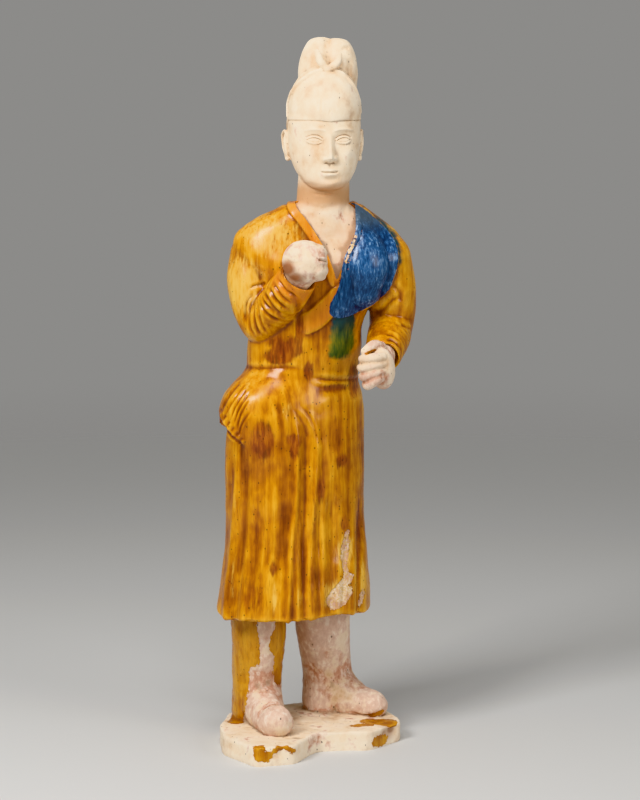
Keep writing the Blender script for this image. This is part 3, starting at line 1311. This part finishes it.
irons = [(0.36, (0.11, 0.018, 0.008)), (0.50, (0.24, 0.048, 0.010)), (0.62, (0.42, 0.125, 0.012))]
iron = ramp(amber, noise_of(amber, 240, 240, 50, 6.0, 0.65), irons)
coat = cover(amber, coat, between(amber, ragged, 0.12, 0.85), 0.85, iron)
coat = cover(amber, coat, between(amber, ragged, -0.25, -0.95), 0.8, (0.88, 0.57, 0.13, 1))
coat = cover(amber, coat, between(amber, hollow, 0.3, 1.2), 0.65, (0.19, 0.045, 0.008, 1))
holes = specks(amber, 620, 0.45, 0.075)
coat = cover(amber, coat, holes, 0.8, (0.03, 0.012, 0.005, 1))
amber.links.new(coat, result.inputs["Color"])
amber.links.new(minus(amber, times(amber, streaks, 0.5), holes), result.inputs["Height"])

# The bare clay: buff to pink earthenware with what is left of a white slip, dusty in the hollows and
# rubbed pale where it stands out.
clay, given, result = group("bare clay", ["Pink", "Hollow"], {"Color": "Color", "Height": "Float"})
hollow = given.outputs["Hollow"]
stain = noise_of(clay, 55, 55, 45, 6.0, 0.62)
grain = noise_of(clay, 620, 620, 620, 4.0, 0.65)
slips = [(0.30, (0.64, 0.43, 0.26)), (0.45, (0.83, 0.66, 0.47)), (0.62, (0.90, 0.77, 0.60))]
earths = [(0.34, (0.47, 0.21, 0.125)), (0.52, (0.62, 0.36, 0.25)), (0.66, (0.82, 0.67, 0.55))]
slip = ramp(clay, stain, slips)
earth = ramp(clay, noise_of(clay, 190, 190, 120, 6.0, 0.65), earths)
patches = plus(clay, given.outputs["Pink"], times(clay, minus(clay, stain, 0.5), 3.2))
body = mix(clay, between(clay, patches, 0.35, 0.75), slip, earth)
body = cover(clay, body, between(clay, hollow, 0.1, 1.0), 0.7, (0.33, 0.20, 0.115, 1))
body = cover(clay, body, between(clay, hollow, -0.15, -0.8), 0.35, (0.88, 0.79, 0.66, 1))
dirt = specks(clay, 420, 0.42, 0.06)
body = cover(clay, body, dirt, 0.7, (0.10, 0.06, 0.04, 1))
clay.links.new(body, result.inputs["Color"])
rough = plus(clay, grain, times(clay, stain, 0.8))
clay.links.new(minus(clay, rough, dirt), result.inputs["Height"])


# The paints: on the robe blue and green lie over the amber, and the clay shows where the glaze flaked. The
# head and chest are painted slip, and on the hands, boots and slab amber has run over the clay.
def layer(tree, made, **feeds):
    """A node that lays a shared group into a material, with its color and its height."""
    placed = node(tree, "Group", {"node_tree": made}, **feeds)
    return placed.outputs["Color"], placed.outputs["Height"]


def finish(material, color, roughness, height, distance):
    """Feeds a material's color, roughness and surface relief."""
    tree = material.node_tree
    shader = tree.nodes["Principled BSDF"]
    raised = node(tree, "Bump", Height=height, Strength=1.0, Distance=distance)
    feed(tree, color, shader.inputs["Base Color"])
    feed(tree, roughness, shader.inputs["Roughness"])
    feed(tree, raised.outputs["Normal"], shader.inputs["Normal"])


def edged(tree, name, swing, soft=0.5, scale=330.0):
    """1 inside a kept outline and 0 outside, its edge wandering by up to swing millimetres."""
    wander = times(tree, minus(tree, noise_of(tree, scale, scale, scale), 0.5), swing * 2)
    return between(tree, plus(tree, kept(tree, name), wander), -soft, soft)


# the blue is thin and grey towards the flap's top, and the green is darkest just below the flap. Each
# change runs from one height to another, in metres above the slab's underside
BLUE_THINS = (0.508, 0.528)
GREEN_DARKENS = (0.404, 0.43)

robe_paint, skin_paint, hand_paint, boot_paint, slab_paint = paints
tree = robe_paint.node_tree
hollow = kept(tree, "hollow")
color, height = layer(tree, amber, Pool=kept(tree, "pool"), Hollow=hollow, Tint=kept(tree, "tint"))
bare, grit = layer(tree, clay, Pink=0.62, Hollow=hollow)
sandy = between(tree, noise_of(tree, 760, 760, 760, 3.0, 0.6), 0.46, 0.58)
bare = cover(tree, bare, sandy, 0.75, (0.66, 0.40, 0.09, 1))
blues = [
    (0.34, (0.006, 0.022, 0.075)),
    (0.50, (0.015, 0.052, 0.145)),
    (0.62, (0.04, 0.125, 0.29)),
    (0.80, (0.30, 0.45, 0.62)),
]
greens = [(0.35, (0.02, 0.05, 0.035)), (0.5, (0.075, 0.125, 0.03)), (0.66, (0.28, 0.23, 0.02))]
fibres = noise_of(tree, 420, 420, 90, 5.0, 0.7)
blue_glaze = ramp(tree, minus(tree, fibres, times(tree, hollow, 0.1)), blues)
green_glaze = ramp(tree, noise_of(tree, 170, 170, 40), greens)
upright = node(tree, "SeparateXYZ", Vector=place_scaled(tree, 1, 1, 1)).outputs["Z"]
thinning = between(tree, upright, *BLUE_THINS)
blue_glaze = cover(tree, blue_glaze, thinning, 0.75, (0.085, 0.115, 0.135, 1))
green_glaze = mix(tree, between(tree, upright, *GREEN_DARKENS), green_glaze, (0.022, 0.07, 0.085, 1))
color = mix(tree, edged(tree, "green", 4.5, 2.8, 150.0), color, green_glaze)
color = mix(tree, edged(tree, "blue", 1.2), color, blue_glaze)
# a dark line runs round each flake
color = cover(tree, color, edged(tree, "run", 2.0, 1.6, 700.0), 0.75, (0.10, 0.03, 0.008, 1))
gone = edged(tree, "run", 3.0, 0.4)
color = mix(tree, gone, color, bare)
roughness = plus(tree, times(tree, gone, 0.55), 0.25)
height = plus(tree, height, times(tree, gone, minus(tree, grit, 2.0)))
finish(robe_paint, color, roughness, height, 0.00028)

tree = skin_paint.node_tree
color, height = layer(tree, clay, Pink=0.02, Hollow=kept(tree, "hollow"))
color = mix(tree, kept(tree, "tint"), color, (0.62, 0.35, 0.17, 1))
finish(skin_paint, color, 0.78, height, 0.00012)

for paint, pink, swing in ((hand_paint, 0.42, 1.0), (boot_paint, 0.8, 3.0), (slab_paint, 0.14, 3.0)):
    tree = paint.node_tree
    hollow = kept(tree, "hollow")
    color, height = layer(tree, clay, Pink=pink, Hollow=hollow)
    color = cover(tree, color, kept(tree, "pool"), 0.85, (0.36, 0.15, 0.07, 1))
    flow, _ = layer(tree, amber, Pool=0.2, Hollow=hollow, Tint=0.0)
    flow = mix(tree, 0.35, flow, (0.33, 0.115, 0.004, 1))
    covered = edged(tree, "run", swing, 0.4)
    color = mix(tree, covered, color, flow)
    roughness = minus(tree, 0.8, times(tree, covered, 0.6))
    finish(paint, color, roughness, plus(tree, height, covered), 0.00034)

# The figure is brought from millimetres round its plumb line to metres in the shared frame, and takes the
# place of the plain one.
figure_mesh.transform(Matrix.Translation((-PLUMB_LINE[0], -PLUMB_LINE[1], SLAB_THICKNESS)))
figure_mesh.transform(Matrix.Scale(0.001, 4))
figure = in_scene("groom_figure_look", figure_mesh)
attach(figure, "root")
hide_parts("groom_figure")

bpy.context.view_layer.update()
